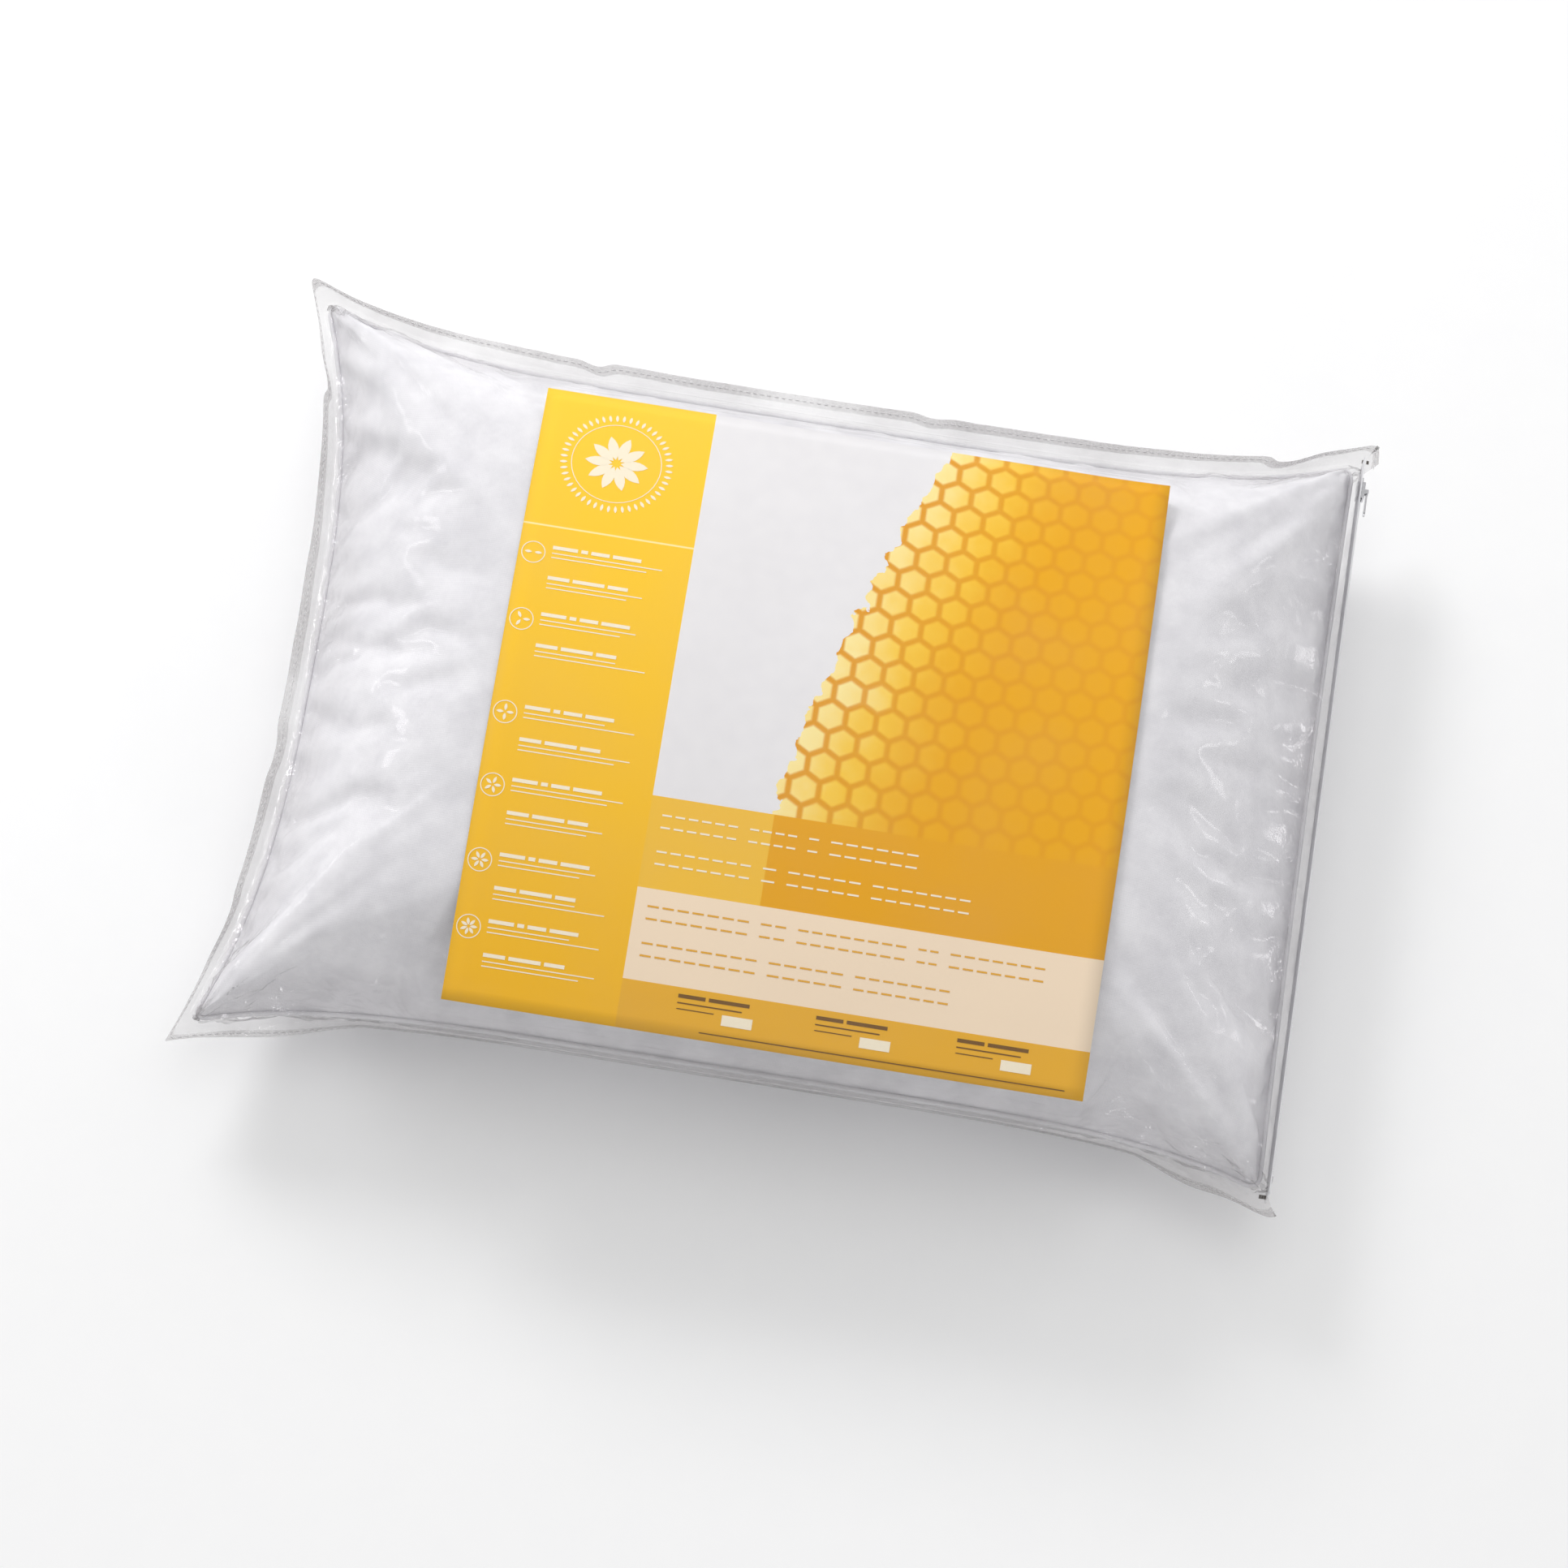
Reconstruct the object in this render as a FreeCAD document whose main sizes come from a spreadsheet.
import FreeCAD, Part
import math
import os
import Sketcher
from FreeCAD import Placement, Rotation, Vector

# A feather and down bed pillow packed in a clear zipped bag with a printed insert card.
# It lies flat: X runs along its length, Y across its width, Z is up, and the origin is
# under the middle of the bag, on the flat face that it rests on. The zip closes the +X end.

doc = FreeCAD.newDocument("BaggedPillow")

# ------------------------------------------------------------------ driving dimensions, mm
SIZES = [
    ("pillow_length", 635.0, "outer cover, corner to corner along X"),
    ("pillow_width", 465.0, "outer cover, corner to corner along Y"),
    ("far_bow", 26.0, "how far the +Y side pulls in at its middle"),
    ("near_bow", 20.0, "how far the -Y side pulls in at its middle"),
    ("end_bow", 26.0, "how far the -X end pulls in at its middle"),
    ("seam_height", 58.0, "seam plane above the resting face"),
    ("crown_rise", 90.0, "crown of the cover above the seam plane"),
    ("crown_radius", 850.0, "crown across the width"),
    ("side_fullness", 17.5, "how far the crown carries on past the cover's corners"),
    ("side_shoulder", 45.0, "round between the crown and the long sides"),
    ("end_radius", 3000.0, "crown along the length"),
    ("end_lift", 1.0, "lengthwise crown above the card's end"),
    ("end_land", 13.0, "upright part of each end above the seam, which the zip's tape lies on"),
    ("belly_radius", 42.0, "round between the sides and the resting face"),
    ("cover_thickness", 0.6, "cotton cover"),
    ("piping_width", 4.0, "piping sewn between the cover's panels"),
    ("piping_height", 4.0, "piping across the seam plane"),
    ("piping_gap", 0.3, "piping and seam thread clear of the cover"),
    ("thread_size", 0.4, "sewing thread"),
    ("layer_gap", 0.35, "air between one layer of the filling and the next"),
    ("down_depth", 14.0, "down around the inner pillow"),
    ("inner_thickness", 0.6, "cotton of the inner pillow"),
    ("film_thickness", 0.4, "clear vinyl film"),
    ("film_rise", 1.3, "film clear of the crown and the belly"),
    ("film_clear", 0.7, "piping clear of the slider's inner plate"),
    ("panel_split", 0.1, "gap between the halves at the seam plane"),
    ("end_flange", 8.1, "flat flange of the bag past its dome at each end"),
    ("side_flange", 10.6, "flat flange of the bag past its dome at each side"),
    ("bag_corner", 10.0, "round on the bag's corners"),
    ("binding_wall", 0.6, "binding strip folded over the bag's edge"),
    ("binding_width", 6.0, "binding on each face, from the film's edge"),
    ("binding_gap", 0.1, "binding clear of the two films"),
    ("stitch_inset", 3.2, "binding's stitch line in from the film's edge"),
    ("card_thickness", 0.5, "insert card"),
    ("card_gap", 0.4, "card clear of the cover"),
    ("card_end_margin", 144.5, "from the cover's -X corners in to the card"),
    ("card_zip_margin", 112.5, "from the cover's +X corners in to the card"),
    ("card_far_margin", 62.0, "from the cover's +Y corners in to the card"),
    ("card_near_gap", 2.0, "card clear of the film at the middle of the -Y side"),
    ("label_length", 50.0, "care label along the seam"),
    ("label_drop", 30.0, "care label below the seam"),
    ("label_thickness", 0.3, "care label"),
    ("zip_inset", 22.0, "from the bag's corners in to each stop's outer face"),
    ("zip_end_room", 9.5, "open bay in the bag's edge past each stop"),
    ("zip_side_room", 0.6, "open bay above and below the slider"),
    ("tape_width", 12.0, "woven zip tape, each side"),
    ("tape_thickness", 0.6, "woven zip tape"),
    ("tape_opening", 1.6, "gap between the tapes, which the slider's post fills"),
    ("tape_stitch", 9.0, "stitch line in each tape, from the tape's inner edge"),
    ("coil_size", 1.6, "coil row, square envelope"),
    ("stop_length", 3.0, "zip stop along the zip"),
    ("stop_gap", 0.25, "coil clear of its stops"),
    ("slider_length", 10.0, "slider along the zip"),
    ("slider_height", 8.8, "slider across the zip"),
    ("plate_thickness", 1.0, "slider plates"),
    ("slider_gap", 0.4, "slider clear of the tapes and coils"),
    ("rim_thickness", 1.4, "folded rims of the slider's outer plate"),
    ("post_length", 3.0, "slider post along the zip"),
    ("post_gap", 0.35, "slider post clear of the tapes"),
    ("park_gap", 0.5, "slider clear of the top stop when the zip is closed"),
    ("ear_thickness", 1.0, "ears that hold the pull's pin"),
    ("ear_spacing", 2.6, "between the ears' inner faces"),
    ("ear_length", 2.6, "ears along the zip"),
    ("pivot_height", 1.5, "pull's pin above the outer plate"),
    ("pin_radius", 0.5, "pull's pin"),
    ("pin_clearance", 0.06, "pull's bore over the pin's radius"),
    ("barrel_radius", 1.15, "pull's barrel"),
    ("barrel_gap", 0.3, "pull's barrel clear of each ear"),
    ("neck_length", 2.8, "pull's neck, from the pin"),
    ("pull_length", 16.0, "pull, from the pin to its tip"),
    ("pull_width", 5.2, "pull across its tab"),
    ("pull_thickness", 1.0, "pull's tab"),
    ("pull_hole", 1.1, "radius of the hole near the pull's tip"),
]

sheet = doc.addObject("Spreadsheet::Sheet", "Sizes")
for row, (alias, value, note) in enumerate(SIZES, start=1):
    sheet.set(f"A{row}", alias)
    sheet.set(f"B{row}", str(value))
    sheet.set(f"C{row}", note)
    sheet.setAlias(f"B{row}", alias)
doc.recompute()


def derived(name, **formulas):
    """A set of sizes worked out from the sheet, one property for each formula."""
    group = doc.addObject("App::VarSet", name)
    for key, formula in formulas.items():
        group.addProperty("App::PropertyFloat", key)
        group.setExpression(key, formula)
    doc.recompute([group])
    return group


def bind(sketch, source, key, *constraint):
    """Adds a driving dimension to a sketch and ties it to a size of the sheet or of a set."""
    index = sketch.addConstraint(Sketcher.Constraint(*constraint, float(getattr(source, key))))
    sketch.renameConstraint(index, key)
    sketch.setExpression(f"Constraints.{key}", f"{source.Name}.{key}")


def tie(sketch, *constraint):
    sketch.addConstraint(Sketcher.Constraint(*constraint))


def plane(body, role):
    return next(feature for feature in body.Origin.OriginFeatures if feature.Role == role)


def attached_sketch(body, name, role):
    sketch = body.newObject("Sketcher::SketchObject", name)
    sketch.AttachmentSupport = [(plane(body, role), "")]
    sketch.MapMode = "FlatFace"
    return sketch


def arc(centre, radius, start, end):
    return Part.ArcOfCircle(Part.Circle(Vector(*centre, 0), Vector(0, 0, 1), radius), start, end)


def line(start, end):
    return Part.LineSegment(Vector(*start, 0), Vector(*end, 0))


def operation(kind, name, shapes, label=None):
    """A Part boolean: Cut takes a base and a tool, MultiFuse and MultiCommon take a list."""
    feature = doc.addObject(f"Part::{kind}", name)
    if kind == "Cut":
        feature.Base, feature.Tool = shapes
    else:
        feature.Shapes = shapes
    if label:
        feature.Label = label
    return feature


def group(name, pieces, label):
    """Separate solids that share one node."""
    compound = doc.addObject("Part::Compound", name)
    compound.Links = pieces
    compound.Label = label
    return compound


def box(name, length, width, height, x, y, z, label=None):
    """A Part::Box whose three sizes and low corner follow formulas."""
    block = doc.addObject("Part::Box", name)
    formulas = {"Length": length, "Width": width, "Height": height}
    formulas.update({"Placement.Base.x": x, "Placement.Base.y": y, "Placement.Base.z": z})
    for key, formula in formulas.items():
        block.setExpression(key, formula)
    if label:
        block.Label = label
    return block


# ------------------------------------------------------------------ sizes that follow others
# The film leaves room beside the piping for the slider's inner plate, the bag follows the
# film, the zip follows the bag, and the lengthwise crown clears the card's end.
fit = derived(
    "Fit",
    film_slack="Sizes.piping_gap + Sizes.piping_width + Sizes.slider_gap"
    " + Sizes.plate_thickness - Sizes.film_thickness + Sizes.film_clear",
    card_zip_edge="Sizes.pillow_length / 2 - Sizes.card_zip_margin",
    card_end_edge="Sizes.pillow_length / 2 - Sizes.card_end_margin",
    card_far_edge="Sizes.pillow_width / 2 - Sizes.card_far_margin",
)
bag = derived(
    "Bag",
    half_length="Sizes.pillow_length / 2 + Fit.film_slack + Sizes.film_thickness"
    " + Sizes.end_flange",
    half_width="Sizes.pillow_width / 2 + Fit.film_slack + Sizes.film_thickness"
    " + Sizes.side_flange",
    zip_half="Sizes.pillow_width / 2 + Fit.film_slack + Sizes.film_thickness"
    " + Sizes.side_flange - Sizes.zip_inset",
    card_near_edge="Sizes.pillow_width / 2 + Fit.film_slack - Sizes.near_bow"
    " - Sizes.card_near_gap",
    end_rise="Sizes.crown_rise + Sizes.end_lift"
    " + Fit.card_zip_edge * Fit.card_zip_edge / (2 * Sizes.end_radius)",
)
ends = derived(
    "Ends",
    land_depth="Sizes.end_radius - Bag.end_rise + Sizes.end_land",
    half="Sizes.pillow_length / 2",
)
end_round = derived(
    "EndRound",
    shoulder="(Sizes.end_radius * Sizes.end_radius - Ends.half * Ends.half"
    " - Ends.land_depth * Ends.land_depth) / (2 * (Sizes.end_radius - Ends.half))",
)


# ------------------------------------------------------------------ outlines seen from above
def draw_outline(sketch, plan):
    """A straight +X side and three sides that curve in between the corners."""
    length, width = plan.half_length, plan.half_width
    far_radius, near_radius, end_radius = plan.far_radius, plan.near_radius, plan.end_radius
    far_turn = math.asin(length / far_radius)
    near_turn = math.asin(length / near_radius)
    end_turn = math.asin(width / end_radius)
    up, left = math.pi / 2, math.pi
    far_centre = (0, width + far_radius * math.cos(far_turn))
    near_centre = (0, -width - near_radius * math.cos(near_turn))
    end_centre = (-length - end_radius * math.cos(end_turn), 0)
    far = sketch.addGeometry(arc(far_centre, far_radius, 3 * up - far_turn, 3 * up + far_turn))
    near = sketch.addGeometry(arc(near_centre, near_radius, up - near_turn, up + near_turn))
    end = sketch.addGeometry(arc(end_centre, end_radius, -end_turn, end_turn))
    zip_side = sketch.addGeometry(line((length, -width), (length, width)))
    tie(sketch, "Coincident", far, 1, end, 2)
    tie(sketch, "Coincident", far, 2, zip_side, 2)
    tie(sketch, "Coincident", near, 1, zip_side, 1)
    tie(sketch, "Coincident", near, 2, end, 1)
    tie(sketch, "Symmetric", far, 2, near, 2, -1, 1)
    tie(sketch, "Horizontal", far, 1, far, 2)
    tie(sketch, "Horizontal", near, 1, near, 2)
    tie(sketch, "Vertical", end, 1, end, 2)
    tie(sketch, "Vertical", zip_side)
    bind(sketch, plan, "half_length", "DistanceX", -1, 1, far, 2)
    bind(sketch, plan, "half_width", "DistanceY", -1, 1, far, 2)
    bind(sketch, plan, "far_radius", "Radius", far)
    bind(sketch, plan, "near_radius", "Radius", near)
    bind(sketch, plan, "end_radius", "Radius", end)


def plan_sizes(name, half_length, half_width, far_bow, near_bow, end_bow):
    """An outline's half sizes, and the radius that gives each curved side its bow."""
    corners = derived(name + "Corners", half_length=half_length, half_width=half_width)
    long_half, short_half = f"{corners.Name}.half_length", f"{corners.Name}.half_width"

    def radius(half_chord, bow):
        return f"({half_chord} * {half_chord} + {bow} * {bow}) / (2 * {bow})"

    return derived(
        name + "Plan",
        half_length=long_half,
        half_width=short_half,
        far_radius=radius(long_half, far_bow),
        near_radius=radius(long_half, near_bow),
        end_radius=radius(short_half, end_bow),
    )


def cover_slab(name, outset, height, bottom=None):
    """The cover's outline, grown by outset. It straddles Z = 0 unless a bottom is given."""
    plan = plan_sizes(
        name,
        f"Sizes.pillow_length / 2 + {outset}",
        f"Sizes.pillow_width / 2 + {outset}",
        "Sizes.far_bow",
        "Sizes.near_bow",
        "Sizes.end_bow",
    )
    sketch = doc.addObject("Sketcher::SketchObject", name + "Outline")
    draw_outline(sketch, plan)
    slab = doc.addObject("Part::Extrusion", name)
    slab.Base, slab.DirMode, slab.Solid = sketch, "Normal", True
    slab.Symmetric = bottom is None
    slab.setExpression("LengthFwd", height)
    if bottom:
        sketch.setExpression("Placement.Base.z", bottom)
    return slab


def bag_plate(name, inset, height, bottom, corner=None):
    """The bag's outline drawn in by inset. All but the pointed -X -Y corner are rounded."""
    plan = plan_sizes(
        name,
        f"Bag.half_length - {inset}",
        f"Bag.half_width - {inset}",
        "Sizes.far_bow",
        "Sizes.near_bow",
        "Sizes.end_bow",
    )
    body = doc.addObject("PartDesign::Body", name)
    sketch = attached_sketch(body, name + "Outline", "XY_Plane")
    draw_outline(sketch, plan)
    pad = body.newObject("PartDesign::Pad", name + "Pad")
    pad.Profile = sketch
    pad.setExpression("Length", height)
    doc.recompute()
    if corner:
        rounded = []
        for index, edge in enumerate(pad.Shape.Edges, start=1):
            middle = edge.CenterOfMass
            upright = edge.BoundBox.XLength + edge.BoundBox.YLength < 1e-6
            if upright and (middle.x > 0 or middle.y > 0):
                rounded.append(f"Edge{index}")
        fillet = body.newObject("PartDesign::Fillet", name + "Corners")
        fillet.Base = (pad, rounded)
        fillet.setExpression("Radius", corner)
        body.Tip = fillet
    body.setExpression("Placement.Base.z", bottom)
    return body


# ------------------------------------------------------------------ cushion envelopes
def draw_section(sketch, shape):
    """A crowned section: crown, two shoulders, upright sides, two belly rounds and a flat."""
    half, top, bottom = shape.half, shape.top, shape.bottom
    crown_radius, shoulder, belly = shape.crown_radius, shape.shoulder, shape.belly
    crown_centre = top - crown_radius
    shoulder_centre = crown_centre + math.sqrt(
        (crown_radius - shoulder) ** 2 - (half - shoulder) ** 2
    )
    turn = math.atan2(shoulder_centre - crown_centre, half - shoulder)
    left, down = math.pi, -math.pi / 2
    crown = sketch.addGeometry(arc((0, crown_centre), crown_radius, turn, left - turn))
    right_shoulder = sketch.addGeometry(arc((half - shoulder, shoulder_centre), shoulder, 0, turn))
    left_shoulder = sketch.addGeometry(
        arc((shoulder - half, shoulder_centre), shoulder, left - turn, left)
    )
    right_side = sketch.addGeometry(line((half, shoulder_centre), (half, bottom + belly)))
    left_side = sketch.addGeometry(line((-half, bottom + belly), (-half, shoulder_centre)))
    right_belly = sketch.addGeometry(arc((half - belly, bottom + belly), belly, down, 0))
    left_belly = sketch.addGeometry(arc((belly - half, bottom + belly), belly, left, left - down))
    flat = sketch.addGeometry(line((half - belly, bottom), (belly - half, bottom)))
    joints = [
        (crown, 1, right_shoulder, 2),
        (crown, 2, left_shoulder, 1),
        (right_shoulder, 1, right_side, 1),
        (right_side, 2, right_belly, 2),
        (right_belly, 1, flat, 1),
        (flat, 2, left_belly, 2),
        (left_belly, 1, left_side, 1),
        (left_side, 2, left_shoulder, 2),
    ]
    for joint in joints:
        tie(sketch, "Tangent", *joint)
    tie(sketch, "Vertical", right_side)
    tie(sketch, "Vertical", left_side)
    tie(sketch, "Horizontal", flat)
    tie(sketch, "Equal", right_shoulder, left_shoulder)
    tie(sketch, "Equal", right_belly, left_belly)
    tie(sketch, "PointOnObject", crown, 3, -2)
    bind(sketch, shape, "crown_radius", "Radius", crown)
    bind(sketch, shape, "shoulder", "Radius", right_shoulder)
    bind(sketch, shape, "belly", "Radius", right_belly)
    bind(sketch, shape, "half", "DistanceX", -1, 1, right_side, 1)
    bind(sketch, shape, "width", "DistanceX", left_side, 1, right_side, 1)
    bind(sketch, shape, "crown_depth", "DistanceY", crown, 3, -1, 1)
    bind(sketch, shape, "flat_depth", "DistanceY", crown, 3, flat, 1)


def section_bar(name, rotation, length, half, rise, crown_radius, shoulder, skin):
    """A section drawn out along the bag. Skin is how far it stands off the cover."""
    top = f"(Sizes.seam_height + {rise} + {skin})"
    bottom = f"(Sizes.film_rise + Sizes.film_thickness - {skin})"
    radius = f"({crown_radius} + {skin})"
    shape = derived(
        name + "Sizes",
        half=half,
        width=f"2 * ({half})",
        top=top,
        bottom=bottom,
        crown_radius=radius,
        crown_depth=f"{radius} - {top}",
        flat_depth=f"{radius} - {top} + {bottom}",
        shoulder=f"{shoulder} + {skin}",
        belly=f"Sizes.belly_radius + {skin}",
    )
    sketch = doc.addObject("Sketcher::SketchObject", name + "Section")
    sketch.Placement = Placement(Vector(0, 0, 0), rotation)
    draw_section(sketch, shape)
    bar = doc.addObject("Part::Extrusion", name)
    bar.Base, bar.DirMode, bar.Solid, bar.Symmetric = sketch, "Normal", True, True
    bar.setExpression("LengthFwd", length)
    return bar


ACROSS = Rotation(Vector(1, 1, 1), 120)
ALONG = Rotation(Vector(1, 0, 0), 90)


def envelope(name, side, skin):
    """A closed cushion: side is its offset from the cover in plan, skin over the crown."""
    offsets = derived(name + "Offsets", side=side, skin=skin)
    side, skin = f"{offsets.Name}.side", f"{offsets.Name}.skin"
    across = section_bar(
        name + "Across", ACROSS, "4 * Bag.half_length",
        f"Sizes.pillow_width / 2 + Sizes.side_fullness + {side}",
        "Sizes.crown_rise", "Sizes.crown_radius", "Sizes.side_shoulder", skin,
    )
    along = section_bar(
        name + "Along", ALONG, "4 * Bag.half_width",
        f"Sizes.pillow_length / 2 + {side}",
        "Bag.end_rise", "Sizes.end_radius", "EndRound.shoulder", skin,
    )
    plan = cover_slab(name + "Above", side, "4 * (Sizes.seam_height + Sizes.crown_rise)")
    return operation("MultiCommon", name, [across, along, plan])


cover_outside = envelope("CoverOutside", "0", "0")
cover_inside = envelope("CoverInside", "-Sizes.cover_thickness", "-Sizes.cover_thickness")

DOWN_OUTSET = "-(Sizes.cover_thickness + Sizes.layer_gap)"
DOWN_INSET = f"{DOWN_OUTSET} - Sizes.down_depth"
INNER_OUTSET = f"{DOWN_INSET} - Sizes.layer_gap"
INNER_INSET = f"{INNER_OUTSET} - Sizes.inner_thickness"
CORE_OUTSET = f"{INNER_INSET} - Sizes.layer_gap"
down_outside = envelope("DownOutside", DOWN_OUTSET, DOWN_OUTSET)
down_inside = envelope("DownInside", DOWN_INSET, DOWN_INSET)
inner_outside = envelope("InnerOutside", INNER_OUTSET, INNER_OUTSET)
inner_inside = envelope("InnerInside", INNER_INSET, INNER_INSET)

film_inside = envelope("FilmInside", "Fit.film_slack", "Sizes.film_rise")
film_outside = envelope(
    "FilmOutside",
    "Fit.film_slack + Sizes.film_thickness",
    "Sizes.film_rise + Sizes.film_thickness",
)

TALL = "2 * (Sizes.seam_height + Sizes.crown_rise)"
HALF_BOX = (
    "4 * Bag.half_length", "4 * Bag.half_width", TALL, "-2 * Bag.half_length", "-2 * Bag.half_width"
)
upper_space = box("UpperSpace", *HALF_BOX, "Sizes.seam_height + Sizes.panel_split / 2")
lower_space = box("LowerSpace", *HALF_BOX, f"Sizes.seam_height - Sizes.panel_split / 2 - {TALL}")


def halves(name, outside, inside, upper_label, lower_label):
    """A shell between two envelopes, parted at the seam plane into its two sewn panels."""
    shell = operation("Cut", name + "Shell", (outside, inside))
    upper = operation("MultiCommon", name + "Upper", [shell, upper_space], upper_label)
    lower = operation("MultiCommon", name + "Lower", [shell, lower_space], lower_label)
    return upper, lower


# ------------------------------------------------------------------ the pillow, from the inside out
# A core of small feathers in its own cotton cover, wrapped in down, in the outer cotton cover.
feather_core = envelope("FeatherCore", CORE_OUTSET, CORE_OUTSET)
feather_core.Label = "feather_core"
inner_halves = halves(
    "InnerCover", inner_outside, inner_inside, "inner_cover_top", "inner_cover_bottom"
)
down_halves = halves("Down", down_outside, down_inside, "down_layer_top", "down_layer_bottom")
cover_halves = halves("Cover", cover_outside, cover_inside, "cover_top_panel", "cover_bottom_panel")

PIPING_BOTTOM = "Sizes.seam_height - Sizes.piping_height / 2"
piping_outer = cover_slab(
    "PipingOuter", "(Sizes.piping_gap + Sizes.piping_width)", "Sizes.piping_height", PIPING_BOTTOM
)
piping_inner = cover_slab("PipingInner", "Sizes.piping_gap", "Sizes.piping_height", PIPING_BOTTOM)
cover_piping = operation("Cut", "Piping", (piping_outer, piping_inner), "cover_piping")


def seam_thread_ring(name, bottom):
    """One run of thread round the cover, just above or below the piping."""
    outer = cover_slab(
        name + "Outer", "(Sizes.piping_gap + Sizes.thread_size)", "Sizes.thread_size", bottom
    )
    inner = cover_slab(name + "Inner", "Sizes.piping_gap", "Sizes.thread_size", bottom)
    return operation("Cut", name, (outer, inner))


thread_above = seam_thread_ring(
    "ThreadAbove", "Sizes.seam_height + Sizes.piping_height / 2 + Sizes.piping_gap"
)
thread_below = seam_thread_ring(
    "ThreadBelow",
    "Sizes.seam_height - Sizes.piping_height / 2 - Sizes.piping_gap - Sizes.thread_size",
)
cover_seam_thread = group("CoverSeamThread", [thread_above, thread_below], "cover_seam_thread")

# A blank care label, sewn into the far seam and hanging down inside the bag.
care_label = box(
    "CareLabel", "Sizes.label_length", "Sizes.label_thickness", "Sizes.label_drop",
    "-Sizes.label_length / 2",
    "Sizes.pillow_width / 2 - Sizes.far_bow + Sizes.piping_width / 2",
    "Sizes.seam_height - Sizes.piping_height - Sizes.label_drop",
    "care_label",
)

# ------------------------------------------------------------------ the insert card
# A printed board that lies on the crown under the film and bends with it across the width.
card = doc.addObject("PartDesign::Body", "InsertCard")
card.Label = "insert_card"
card_sizes = derived(
    "CardSizes",
    under="Sizes.crown_radius + Sizes.card_gap",
    over="Sizes.crown_radius + Sizes.card_gap + Sizes.card_thickness",
    near="Bag.card_near_edge",
    far="Fit.card_far_edge",
    depth="Sizes.crown_radius - Sizes.seam_height - Sizes.crown_rise",
)
card_sketch = attached_sketch(card, "CardSection", "YZ_Plane")
far_angle = math.acos(card_sizes.far / card_sizes.under)
near_angle = math.pi - math.acos(card_sizes.near / card_sizes.under)
card_centre = (0, -card_sizes.depth)


def on_card(radius, angle):
    return (radius * math.cos(angle), radius * math.sin(angle) - card_sizes.depth)


under = card_sketch.addGeometry(arc(card_centre, card_sizes.under, far_angle, near_angle))
over = card_sketch.addGeometry(arc(card_centre, card_sizes.over, far_angle, near_angle))
far_edge = card_sketch.addGeometry(
    line(on_card(card_sizes.under, far_angle), on_card(card_sizes.over, far_angle))
)
near_edge = card_sketch.addGeometry(
    line(on_card(card_sizes.under, near_angle), on_card(card_sizes.over, near_angle))
)
tie(card_sketch, "Coincident", under, 1, far_edge, 1)
tie(card_sketch, "Coincident", over, 1, far_edge, 2)
tie(card_sketch, "Coincident", under, 2, near_edge, 1)
tie(card_sketch, "Coincident", over, 2, near_edge, 2)
tie(card_sketch, "Coincident", under, 3, over, 3)
tie(card_sketch, "PointOnObject", under, 3, -2)
tie(card_sketch, "PointOnObject", under, 3, far_edge)
tie(card_sketch, "PointOnObject", under, 3, near_edge)
bind(card_sketch, card_sizes, "depth", "DistanceY", under, 3, -1, 1)
bind(card_sketch, card_sizes, "under", "Radius", under)
bind(card_sketch, card_sizes, "over", "Radius", over)
bind(card_sketch, card_sizes, "far", "DistanceX", -1, 1, under, 1)
bind(card_sketch, card_sizes, "near", "DistanceX", under, 2, -1, 1)
card_pad = card.newObject("PartDesign::Pad", "CardPad")
card_pad.Profile = card_sketch
card_pad.SideType = "Symmetric"
card_pad.setExpression("Length", "Fit.card_zip_edge + Fit.card_end_edge")
card.setExpression("Placement.Base.x", "(Fit.card_zip_edge - Fit.card_end_edge) / 2")

# ------------------------------------------------------------------ the bag
# Two clear vinyl panels, each a dome over half of the pillow with a flat flange round it.
ZIP_FACE = "(Sizes.pillow_length / 2 + Fit.film_slack + Sizes.film_thickness)"
BAY_HALF = "(Bag.zip_half + Sizes.zip_end_room)"
SLIDER_REACH = "(Sizes.slider_height / 2 + Sizes.zip_side_room)"
bay = box(
    "ZipBay", "4 * Sizes.end_flange", f"2 * {BAY_HALF}", f"2 * {SLIDER_REACH}",
    f"{ZIP_FACE} - Fit.film_slack / 2", f"-{BAY_HALF}", f"Sizes.seam_height - {SLIDER_REACH}",
)
film_shell = operation("Cut", "FilmShell", (film_outside, film_inside))


def bag_panel(name, space, flange_bottom, label):
    """One dome of film with its flange, open where the zip closes the +X end."""
    dome = operation("MultiCommon", name + "Dome", [film_shell, space])
    plate = bag_plate(name + "Plate", "0", "Sizes.film_thickness", flange_bottom, "Sizes.bag_corner")
    flange = operation("Cut", name + "Flange", (plate, film_inside))
    joined = operation("MultiFuse", name + "Joined", [dome, flange])
    return operation("Cut", name, (joined, bay), label)


bag_front = bag_panel(
    "BagFront", upper_space, "Sizes.seam_height + Sizes.panel_split / 2", "bag_front_panel"
)
bag_back = bag_panel(
    "BagBack", lower_space,
    "Sizes.seam_height - Sizes.panel_split / 2 - Sizes.film_thickness", "bag_back_panel",
)

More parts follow.
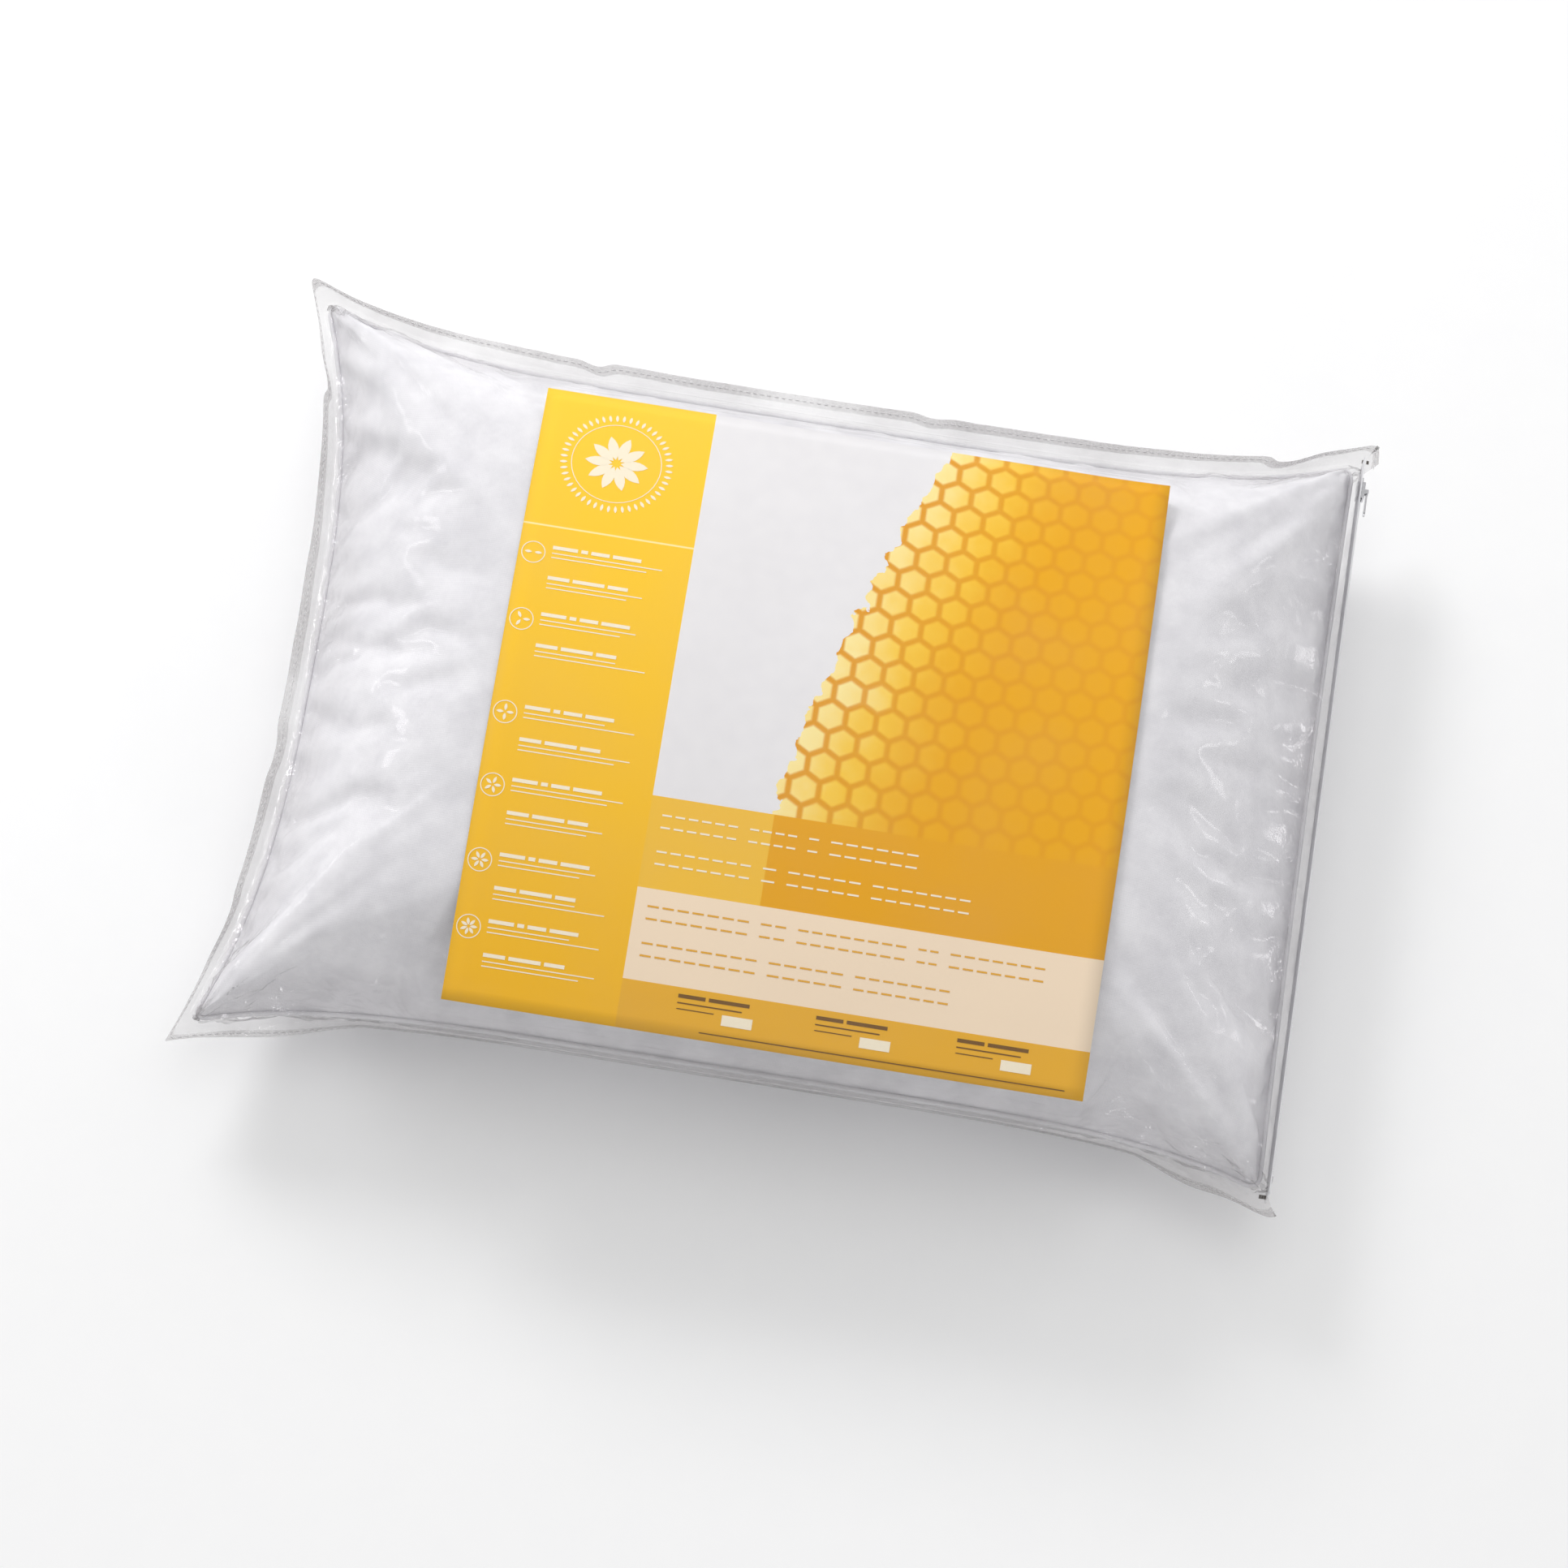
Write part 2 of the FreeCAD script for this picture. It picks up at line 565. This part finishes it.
# A vinyl strip folded over the two films and sewn through, all round but for the zip.
SLOT_HALF = "(Sizes.panel_split / 2 + Sizes.film_thickness + Sizes.binding_gap)"
BINDING_HALF = f"({SLOT_HALF} + Sizes.binding_wall)"
binding_outer = bag_plate(
    "BindingOuter", "(-Sizes.binding_gap - Sizes.binding_wall)", f"2 * {BINDING_HALF}",
    f"Sizes.seam_height - {BINDING_HALF}", "Sizes.bag_corner",
)
binding_slot = bag_plate(
    "BindingSlot", "(-Sizes.binding_gap)", f"2 * {SLOT_HALF}",
    f"Sizes.seam_height - {SLOT_HALF}", "Sizes.bag_corner",
)
binding_inner = bag_plate(
    "BindingInner", "Sizes.binding_width", f"4 * {BINDING_HALF}",
    f"Sizes.seam_height - 2 * {BINDING_HALF}",
)
binding_ring = operation("Cut", "BindingRing", (binding_outer, binding_inner))
binding_strip = operation("Cut", "BindingStrip", (binding_ring, binding_slot))
bag_binding = operation("Cut", "Binding", (binding_strip, bay), "bag_edge_binding")


def binding_thread_run(name, bottom):
    """The stitch line on one face of the binding."""
    outer = bag_plate(name + "Outer", "Sizes.stitch_inset", "Sizes.thread_size", bottom)
    inner = bag_plate(
        name + "Inner", "(Sizes.stitch_inset + Sizes.thread_size)", "Sizes.thread_size", bottom
    )
    ring = operation("Cut", name + "Ring", (outer, inner))
    return operation("Cut", name, (ring, bay))


binding_thread = group(
    "BindingThread",
    [
        binding_thread_run("StitchAbove", f"Sizes.seam_height + {BINDING_HALF}"),
        binding_thread_run(
            "StitchBelow", f"Sizes.seam_height - {BINDING_HALF} - Sizes.thread_size"
        ),
    ],
    "bag_binding_thread",
)

# ------------------------------------------------------------------ the zip
# A woven tape on each panel, a coil row on each tape, and a metal stop at both ends.
TAPE_START = "Sizes.tape_opening / 2"
TAPE_LENGTH = f"2 * {BAY_HALF}"
COIL_FACE = f"{ZIP_FACE} + Sizes.tape_thickness"
COIL_HALF = "(Bag.zip_half - Sizes.stop_length - Sizes.stop_gap)"
STITCH_START = f"{TAPE_START} + Sizes.tape_stitch"
tapes, coils, tape_threads = [], [], []
for side, sign in (("upper", "+"), ("lower", "-")):
    title = side.capitalize()
    tape_low, coil_low, thread_low = [
        f"Sizes.seam_height {sign} ({start})" + ("" if sign == "+" else f" - {size}")
        for start, size in (
            (TAPE_START, "Sizes.tape_width"),
            (TAPE_START, "Sizes.coil_size"),
            (STITCH_START, "Sizes.thread_size"),
        )
    ]
    tapes.append(box(
        f"{title}Tape", "Sizes.tape_thickness", TAPE_LENGTH, "Sizes.tape_width",
        ZIP_FACE, f"-{BAY_HALF}", tape_low, f"zip_tape_{side}",
    ))
    coils.append(box(
        f"{title}Coil", "Sizes.coil_size", f"2 * {COIL_HALF}", "Sizes.coil_size",
        COIL_FACE, f"-{COIL_HALF}", coil_low, f"zip_coil_{side}",
    ))
    tape_threads.append(box(
        f"{title}TapeThread", "Sizes.thread_size", TAPE_LENGTH, "Sizes.thread_size",
        COIL_FACE, f"-{BAY_HALF}", thread_low,
    ))
zip_thread = group("ZipThread", tape_threads, "zip_tape_thread")

STOP_HALF = "(Sizes.tape_opening / 2 + Sizes.coil_size)"
STOP_SIZES = ("Sizes.coil_size", "Sizes.stop_length", f"2 * {STOP_HALF}", COIL_FACE)
top_stop = box(
    "TopStop", *STOP_SIZES, "Bag.zip_half - Sizes.stop_length",
    f"Sizes.seam_height - {STOP_HALF}", "zip_top_stop",
)
bottom_stop = box(
    "BottomStop", *STOP_SIZES, "-Bag.zip_half",
    f"Sizes.seam_height - {STOP_HALF}", "zip_bottom_stop",
)

# The slider, parked against the top stop with the zip closed. Its two plates are joined by
# a thin post between the tapes, and two ears outside carry the pin of the pull.
SLIDER_Y = "(Bag.zip_half - Sizes.stop_length - Sizes.park_gap - Sizes.slider_length / 2)"
SLIDER_HALF = "Sizes.slider_height / 2"
OUTER_PLATE = f"({COIL_FACE} + Sizes.coil_size + Sizes.slider_gap)"
INNER_PLATE = f"({ZIP_FACE} - Sizes.slider_gap - Sizes.plate_thickness)"
PLATE_TOP = f"({OUTER_PLATE} + Sizes.plate_thickness)"
PIVOT_X = f"({PLATE_TOP} + Sizes.pivot_height)"
PLATE_SIZES = ("Sizes.plate_thickness", "Sizes.slider_length", "Sizes.slider_height")
PLATE_LOW = (f"{SLIDER_Y} - Sizes.slider_length / 2", f"Sizes.seam_height - {SLIDER_HALF}")
POST_HALF = "(Sizes.tape_opening / 2 - Sizes.post_gap)"
RIM_DEPTH = "(Sizes.coil_size + Sizes.plate_thickness / 2)"
EAR_HEIGHT = "(Sizes.pivot_height + 2 * Sizes.pin_radius)"
slider_pieces = [
    box("SliderOuterPlate", *PLATE_SIZES, OUTER_PLATE, *PLATE_LOW),
    box("SliderInnerPlate", *PLATE_SIZES, INNER_PLATE, *PLATE_LOW),
    box(
        "SliderPost", f"{OUTER_PLATE} - {INNER_PLATE}", "Sizes.post_length", f"2 * {POST_HALF}",
        INNER_PLATE, f"{SLIDER_Y} + Sizes.slider_length / 2 - Sizes.post_length",
        f"Sizes.seam_height - {POST_HALF}",
    ),
]
for name, rim_low, ear_low in (
    ("Upper", f"{SLIDER_HALF} - Sizes.rim_thickness", "Sizes.ear_spacing / 2"),
    ("Lower", f"-{SLIDER_HALF}", "-Sizes.ear_spacing / 2 - Sizes.ear_thickness"),
):
    slider_pieces.append(box(
        f"{name}Rim", RIM_DEPTH, "Sizes.slider_length", "Sizes.rim_thickness",
        f"{PLATE_TOP} - {RIM_DEPTH}", f"{SLIDER_Y} - Sizes.slider_length / 2",
        f"Sizes.seam_height + {rim_low}",
    ))
    slider_pieces.append(box(
        f"{name}Ear", EAR_HEIGHT, "Sizes.ear_length", "Sizes.ear_thickness",
        PLATE_TOP, f"{SLIDER_Y} - Sizes.ear_length / 2", f"Sizes.seam_height + {ear_low}",
    ))
pin = doc.addObject("Part::Cylinder", "PullPin")
PIN_LENGTH = "(Sizes.ear_spacing + Sizes.ear_thickness)"
for key, formula in {
    "Radius": "Sizes.pin_radius",
    "Height": PIN_LENGTH,
    "Placement.Base.x": PIVOT_X,
    "Placement.Base.y": SLIDER_Y,
    "Placement.Base.z": f"Sizes.seam_height - {PIN_LENGTH} / 2",
}.items():
    pin.setExpression(key, formula)
slider = operation("MultiFuse", "Slider", slider_pieces + [pin], "zip_slider")

# The pull: a barrel round the pin, a neck between the ears and a flat tab with a hole. It is
# drawn about its pin, lying along the zip towards -Y.
pull = doc.addObject("PartDesign::Body", "Pull")
pull.Label = "zip_pull"
pull_sizes = derived(
    "PullSizes",
    neck_half="Sizes.ear_spacing / 2 - Sizes.barrel_gap",
    neck="Sizes.neck_length",
    neck_width="Sizes.ear_spacing - 2 * Sizes.barrel_gap",
    tab_half="Sizes.pull_width / 2",
    straight="Sizes.pull_length - Sizes.pull_width / 2",
    bore="Sizes.pin_radius + Sizes.pin_clearance",
    barrel="Sizes.barrel_radius",
)
neck_half, neck = pull_sizes.neck_half, pull_sizes.neck
tab_half, straight = pull_sizes.tab_half, pull_sizes.straight
tab_sketch = attached_sketch(pull, "PullTab", "YZ_Plane")
corners = [
    (0, -neck_half), (0, neck_half), (-neck, neck_half), (-neck, tab_half), (-straight, tab_half)
]
root, top_neck, top_step, top_edge = [
    tab_sketch.addGeometry(line(start, end)) for start, end in zip(corners, corners[1:])
]
tip = tab_sketch.addGeometry(arc((-straight, 0), tab_half, math.pi / 2, 3 * math.pi / 2))
low_edge = tab_sketch.addGeometry(line((-straight, -tab_half), (-neck, -tab_half)))
low_step = tab_sketch.addGeometry(line((-neck, -tab_half), (-neck, -neck_half)))
low_neck = tab_sketch.addGeometry(line((-neck, -neck_half), (0, -neck_half)))
hole = tab_sketch.addGeometry(
    Part.Circle(Vector(-straight, 0, 0), Vector(0, 0, 1), float(sheet.pull_hole))
)
for first, second in [(root, top_neck), (top_neck, top_step), (top_step, top_edge),
                      (low_edge, low_step), (low_step, low_neck), (low_neck, root)]:
    tie(tab_sketch, "Coincident", first, 2, second, 1)
tie(tab_sketch, "Tangent", top_edge, 2, tip, 1)
tie(tab_sketch, "Tangent", tip, 2, low_edge, 1)
for upright in (top_step, low_step):
    tie(tab_sketch, "Vertical", upright)
for level in (top_neck, top_edge, low_edge, low_neck):
    tie(tab_sketch, "Horizontal", level)
tie(tab_sketch, "PointOnObject", tip, 3, -1)
tie(tab_sketch, "Coincident", hole, 3, tip, 3)
tie(tab_sketch, "Symmetric", root, 1, root, 2, -1)
tie(tab_sketch, "PointOnObject", root, 1, -2)
tie(tab_sketch, "Vertical", top_step, 1, low_step, 2)
bind(tab_sketch, pull_sizes, "neck_width", "DistanceY", root, 1, root, 2)
bind(tab_sketch, pull_sizes, "neck", "DistanceX", top_step, 1, -1, 1)
bind(tab_sketch, pull_sizes, "straight", "DistanceX", tip, 3, -1, 1)
bind(tab_sketch, pull_sizes, "tab_half", "Radius", tip)
bind(tab_sketch, sheet, "pull_hole", "Radius", hole)
tab_pad = pull.newObject("PartDesign::Pad", "PullTabPad")
tab_pad.Profile = tab_sketch
tab_pad.SideType = "Symmetric"
tab_pad.setExpression("Length", "Sizes.pull_thickness")


def pin_circle(name, key):
    """A circle about the pin, sized by one of the pull's sizes."""
    sketch = attached_sketch(pull, name, "XY_Plane")
    radius = getattr(pull_sizes, key)
    circle = sketch.addGeometry(Part.Circle(Vector(0, 0, 0), Vector(0, 0, 1), radius))
    tie(sketch, "Coincident", circle, 3, -1, 1)
    bind(sketch, pull_sizes, key, "Radius", circle)
    return sketch


barrel_pad = pull.newObject("PartDesign::Pad", "BarrelPad")
barrel_pad.Profile = pin_circle("Barrel", "barrel")
barrel_pad.SideType = "Symmetric"
barrel_pad.setExpression("Length", "2 * PullSizes.neck_half")
doc.recompute()
solid_barrel_volume = barrel_pad.Shape.Volume
bore_pocket = pull.newObject("PartDesign::Pocket", "BarrelBore")
bore_pocket.Profile = pin_circle("Bore", "bore")
bore_pocket.SideType = "Symmetric"
bore_pocket.setExpression("Length", "4 * PullSizes.neck_half")
pull.setExpression("Placement.Base.x", PIVOT_X)
pull.setExpression("Placement.Base.y", SLIDER_Y)
pull.setExpression("Placement.Base.z", "Sizes.seam_height")
doc.recompute()
bore_volume = math.pi * pull_sizes.bore**2 * 2 * neck_half
if abs(solid_barrel_volume - bore_pocket.Shape.Volume - bore_volume) > bore_volume / 100:
    raise RuntimeError("the pull's bore isn't cut through its barrel")

# ------------------------------------------------------------------ tests and export
NODES = [
    bag_front, bag_back, bag_binding, binding_thread,
    *tapes, *coils, zip_thread, top_stop, bottom_stop, slider, pull,
    card, cover_halves[0], cover_halves[1], cover_piping, cover_seam_thread, care_label,
    down_halves[0], down_halves[1], inner_halves[0], inner_halves[1], feather_core,
]
doc.recompute()
failed = [item.Name for item in doc.Objects if {"Invalid", "Error"} & set(item.State)]
if failed:
    raise RuntimeError(f"these objects failed: {failed}")
for node in NODES:
    if node.Shape.isNull() or not node.Shape.isValid() or not node.Shape.Solids:
        raise RuntimeError(f"{node.Label} has no valid solid")

os.makedirs("parts", exist_ok=True)
for node in NODES:
    node.Shape.exportStep(f"parts/{node.Label}.step")
    bounds = node.Shape.BoundBox
    print(
        f"{node.Label:20s} solids {len(node.Shape.Solids)}  volume {node.Shape.Volume:12.1f}  "
        f"x {bounds.XMin:8.2f} {bounds.XMax:8.2f}  y {bounds.YMin:8.2f} {bounds.YMax:8.2f}  "
        f"z {bounds.ZMin:7.2f} {bounds.ZMax:7.2f}"
    )
